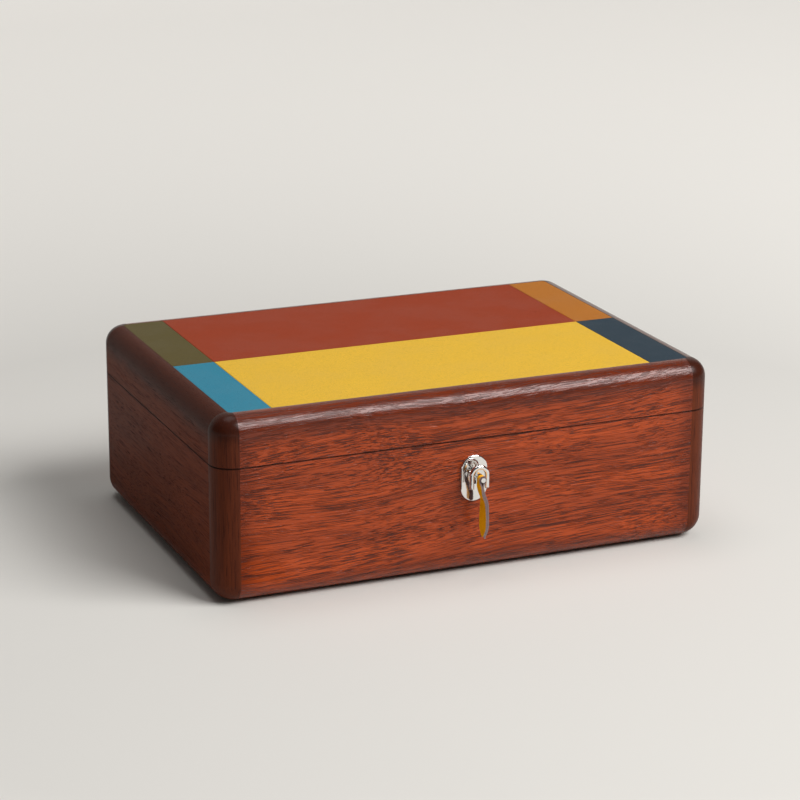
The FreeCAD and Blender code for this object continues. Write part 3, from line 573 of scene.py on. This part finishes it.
def covered(name, body, material, softness):
    """The same board with its edges turned over softly, as cloth or hide goes round them."""
    piece = bpy.data.objects.new("covered_" + name, nodes[name].data.copy())
    bpy.context.scene.collection.objects.link(piece)
    piece.data.materials.clear()
    piece.data.materials.append(material)
    turned = piece.modifiers.new("turned_edges", "BEVEL")
    turned.width, turned.segments, turned.limit_method = softness, 3, "ANGLE"
    turned.angle_limit = TURNED_FROM
    turned.harden_normals = True
    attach(piece, body)
    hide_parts(name)


for body, flat in (("base", "floor"), ("lid", "top")):
    for name in (flat, "front", "back", "left", "right"):
        covered(f"{body}_lining_{name}", body, suede, BOARD_EDGE)
covered("foot_pad", "base", felt, PAD_EDGE)
print("suede boards: 10, felt pad: 1")

# %% [markdown]
# The strap on the key
#
# One strip of yellow leather is folded over the pin in the key's bow, and its two tails hang back
# to back with the skin side out. It could hang flat, but the photographed one has a lazy twist. So
# the strip is swept along its own middle line, and each section is turned by its own height.

# %% The strap's own line
# All in metres. The tails lie PARTING from the strap's middle, and POINT is how long its tip is.
PIN = Vector(frame_joint["strap_swing"]["pos_m"])
LAYER, FOLD_RADIUS, PARTING = 0.00125, 0.001825, 0.00068
TAIL, WAIST, SHOULDER, POINT = 0.037, 0.0095, 0.0175, 0.007
NECK_WIDTH, FULL_WIDTH, TIP_WIDTH, TIP_CURVE = 0.0033, 0.0060, 0.0011, 1.6
TAIL_STEPS, TAIL_SPACING, FOLD_STEPS, LONGER_TAIL, TAILS_MEET = 44, 1.15, 16, 0.0016, 0.0062


def eased(value, low, high):
    """0 below low and 1 above high, with soft ends."""
    part = min(1.0, max(0.0, (value - low) / (high - low)))
    return part * part * (3 - 2 * part)


def strap_width(depth):
    """Width of the strap at this depth below its pin."""
    wide = NECK_WIDTH + (FULL_WIDTH - NECK_WIDTH) * eased(depth, WAIST, SHOULDER)
    point = max(0.0, (depth - TAIL + POINT) / POINT)
    return wide + (TIP_WIDTH - wide) * point ** TIP_CURVE


def strap_turn(depth):
    """How far the strap's skin is turned from the left towards the front."""
    degrees = 30 * eased(depth, 0.0005, 0.0045) - 24 * eased(depth, 0.005, 0.012)
    return math.radians(degrees + 13 * eased(depth, 0.012, 0.026))


def strap_lean(depth):
    """How far the strap has drifted to the right at this depth."""
    return -0.0008 * eased(depth, 0.0, 0.004) + 0.0028 * eased(depth, 0.004, 0.016)


def strap_line():
    """Points of the strip's middle line as its offset from the fold's middle and its depth."""
    line = []
    for side, length in ((-1, TAIL), (1, TAIL + LONGER_TAIL)):
        tail = []
        for step in range(TAIL_STEPS + 1):
            depth = length * (1 - step / TAIL_STEPS) ** TAIL_SPACING
            offset = PARTING + (FOLD_RADIUS - PARTING) * (1 - eased(depth, 0.0, TAILS_MEET))
            tail.append((side * offset, depth))
        line.append(tail)
    turns = [math.pi * step / FOLD_STEPS for step in range(1, FOLD_STEPS)]
    arc = [(-FOLD_RADIUS * math.cos(turn), -FOLD_RADIUS * math.sin(turn)) for turn in turns]
    return line[0] + arc + line[1][::-1]


# The faces round a section that carry the skin, and where the bow's front is and its legs end:
# the strap stays in front of it down to there.
SKIN_SIDE = (8, 9, 10, 11)
BOW_FRONT, BOW_REACH = -0.12528, 0.0102
STRAP_SHARP_FROM = math.radians(48)


def hanging_strap():
    """Sweeps the strip's section along its line, with the skin outside and raw hide inside."""
    line = strap_line()
    half = [(-0.5, -0.30), (-0.485, -0.5), (-0.25, -0.5), (0.0, -0.5), (0.25, -0.5), (0.485, -0.5),
            (0.5, -0.30)]
    section = half + [(-across, -through) for across, through in half]
    points = []
    for index, (offset, depth) in enumerate(line):
        before, after = line[max(0, index - 1)], line[min(len(line) - 1, index + 1)]
        run = Vector((after[0] - before[0], before[1] - after[1])).normalized()
        outward = Vector((-run.y, run.x))
        below = max(0.0, depth)
        turn, lean, width = strap_turn(below), strap_lean(below), strap_width(below)
        rear = BOW_FRONT + max(0.0, depth - BOW_REACH)
        for across, through in section:
            u = offset + outward.x * through * LAYER
            height = -depth + outward.y * through * LAYER
            v = across * width
            points.append((
                PIN.x + lean + u * math.cos(turn) - v * math.sin(turn),
                min(PIN.y + u * math.sin(turn) + v * math.cos(turn), rear),
                PIN.z + height,
            ))
    count, rows = len(section), len(line)
    faces = [(row * count + i, row * count + (i + 1) % count,
              (row + 1) * count + (i + 1) % count, (row + 1) * count + i)
             for row in range(rows - 1) for i in range(count)]
    faces += [tuple(reversed(range(count))), tuple(range((rows - 1) * count, rows * count))]
    mesh = bpy.data.meshes.new("hanging_strap")
    mesh.from_pydata(points, [], faces)
    for index, face in enumerate(mesh.polygons):
        skin = index < len(faces) - 2 and index % count in SKIN_SIDE
        face.material_index = 0 if skin else 1
    mesh.shade_smooth()
    mesh.set_sharp_from_angle(angle=STRAP_SHARP_FROM)
    strap = bpy.data.objects.new("hanging_strap", mesh)
    bpy.context.scene.collection.objects.link(strap)
    return strap


strap = hanging_strap()
strap.data.materials.append(
    leather("strap_skin", (1.0, 0.44, 0.004), depth=0.00004, cells=1500.0, roughness=0.42,
            shade=0.85))
strap.data.materials.append(napped("strap_raw_edge", (0.18, 0.115, 0.11), 2600.0, 0.0001))
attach(strap, "strap")
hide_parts("key_strap")

# %% [markdown]
# The studio
#
# A pale sweep runs from the floor up into the backdrop. One large soft lamp stands in front and to
# the right, high enough for the bright line along the lid's front rounding, and a weak one hangs
# above. A small lamp would be simpler, but its shadow has a hard edge that the photograph lacks.
# Three black cards, which only polished things mirror, darken the sides of the key and its plate.

# %% Studio
PAPER, PAPER_ROUGHNESS, PAPER_GLOSS = (0.655, 0.635, 0.598, 1.0), 0.9, 0.2
LIFT, LIFT_FROM, LIFT_REACH, LIFT_COLOUR = 0.72, 0.45, 1.18, (1.0, 0.965, 0.91)
CARD_BLACK = (0.008, 0.008, 0.008, 1.0)
ROOM_COLOUR, ROOM_LIGHT, ROOM_SEEN = (0.97, 0.97, 0.97, 1.0), 0.10, 0.64
SWEEP_STEPS = 24
LIT = Vector((0, 0, 0.05))


def stage_sweep():
    """A floor that curves up into a backdrop."""
    half, front, rear, radius, top = 6.0, -5.0, 4.0, 2.0, 6.0
    profile = [(front, 0.0), (rear - radius, 0.0)]
    for step in range(1, SWEEP_STEPS + 1):
        angle = math.radians(90 * step / SWEEP_STEPS)
        profile.append((rear - radius + radius * math.sin(angle), radius * (1 - math.cos(angle))))
    profile.append((rear, top))
    points = [(x, y, z) for y, z in profile for x in (-half, half)]
    faces = [(2 * i, 2 * i + 1, 2 * i + 3, 2 * i + 2) for i in range(len(profile) - 1)]
    mesh = bpy.data.meshes.new("sweep")
    mesh.from_pydata(points, [], faces)
    mesh.shade_smooth()
    sweep = bpy.data.objects.new("sweep", mesh)
    bpy.context.scene.collection.objects.link(sweep)
    return sweep


def paper():
    """Matt pale paper; the camera and bright metal see its far part lifted to an even tone."""
    material, tree, shader = new_material("backdrop_paper")
    shader.inputs["Base Color"].default_value = PAPER
    shader.inputs["Roughness"].default_value = PAPER_ROUGHNESS
    shader.inputs["Specular IOR Level"].default_value = PAPER_GLOSS
    at = add(tree, "TexCoord").outputs["Object"]
    away = add(tree, "VectorMath", {"operation": "LENGTH"}, _0=at).outputs["Value"]
    ray = add(tree, "LightPath").outputs
    seen = sums(tree, "MAXIMUM", ray["Is Camera Ray"],
                sums(tree, "MAXIMUM", ray["Is Glossy Ray"], ray["Is Transmission Ray"]))
    beyond = sums(tree, "MAXIMUM", sums(tree, "SUBTRACT", away, LIFT_FROM), 0.0)
    curve = sums(tree, "DIVIDE", beyond, sums(tree, "ADD", beyond, LIFT_REACH))
    lift = sums(tree, "MULTIPLY", seen, sums(tree, "MULTIPLY", curve, LIFT))
    glow = mixed(tree, lift, (0.0, 0.0, 0.0), LIFT_COLOUR)
    tree.links.new(glow, shader.inputs["Emission Color"])
    shader.inputs["Emission Strength"].default_value = 1.0
    return material


stage_sweep().data.materials.append(paper())


def softbox(name, place, size, watts):
    """A rectangular soft lamp that looks at the box."""
    lamp = bpy.data.objects.new(name, bpy.data.lights.new(name, "AREA"))
    lamp.data.shape = "RECTANGLE"
    lamp.data.size, lamp.data.size_y = size
    lamp.data.energy = watts
    lamp.location = place
    lamp.rotation_mode = "QUATERNION"
    lamp.rotation_quaternion = (LIT - Vector(place)).to_track_quat("-Z", "Y")
    bpy.context.scene.collection.objects.link(lamp)


softbox("key_lamp", (1.32, -1.68, 2.15), (1.9, 1.6), 105)
softbox("overhead_lamp", (-0.2, 0.3, 2.6), (1.6, 1.2), 18)


def dark_card(name, place, target, width, height):
    """A black card that is seen only in polished things."""
    mesh = bpy.data.meshes.new(name)
    around = ((-0.5, -0.5), (0.5, -0.5), (0.5, 0.5), (-0.5, 0.5))
    mesh.from_pydata([(width * x, height * y, 0) for x, y in around], [], [(0, 1, 2, 3)])
    card = bpy.data.objects.new(name, mesh)
    card.location = place
    card.rotation_mode = "QUATERNION"
    card.rotation_quaternion = (Vector(target) - Vector(place)).to_track_quat("Z", "Y")
    material, _, shader = new_material(name)
    shader.inputs["Base Color"].default_value = CARD_BLACK
    shader.inputs["Specular IOR Level"].default_value = 0.0
    mesh.materials.append(material)
    for ray in ("camera", "diffuse", "shadow", "transmission"):
        setattr(card, "visible_" + ray, False)
    bpy.context.scene.collection.objects.link(card)


dark_card("left_card", (-0.95, -0.35, 0.40), (0, -0.1, 0.1), 1.1, 0.66)
dark_card("low_card", (-0.32, -0.30, 0.004), (-0.32, -0.30, 0.5), 0.42, 0.34)
dark_card("right_card", (0.95, -0.20, 0.40), (0, -0.1, 0.1), 1.1, 0.66)

world = bpy.data.worlds.new("studio_air")
bpy.context.scene.world = world
world.use_nodes = True
air = world.node_tree
air.nodes["Background"].inputs["Color"].default_value = ROOM_COLOUR
seen = air.nodes.new("ShaderNodeLightPath").outputs["Is Camera Ray"]
air.links.new(sums(air, "MULTIPLY_ADD", seen, ROOM_SEEN, ROOM_LIGHT),
              air.nodes["Background"].inputs["Strength"])
bpy.context.scene.view_settings.view_transform = "Standard"
print("lamps and sweep ready")

# %% [markdown]
# Finish

# %% Finish
import json
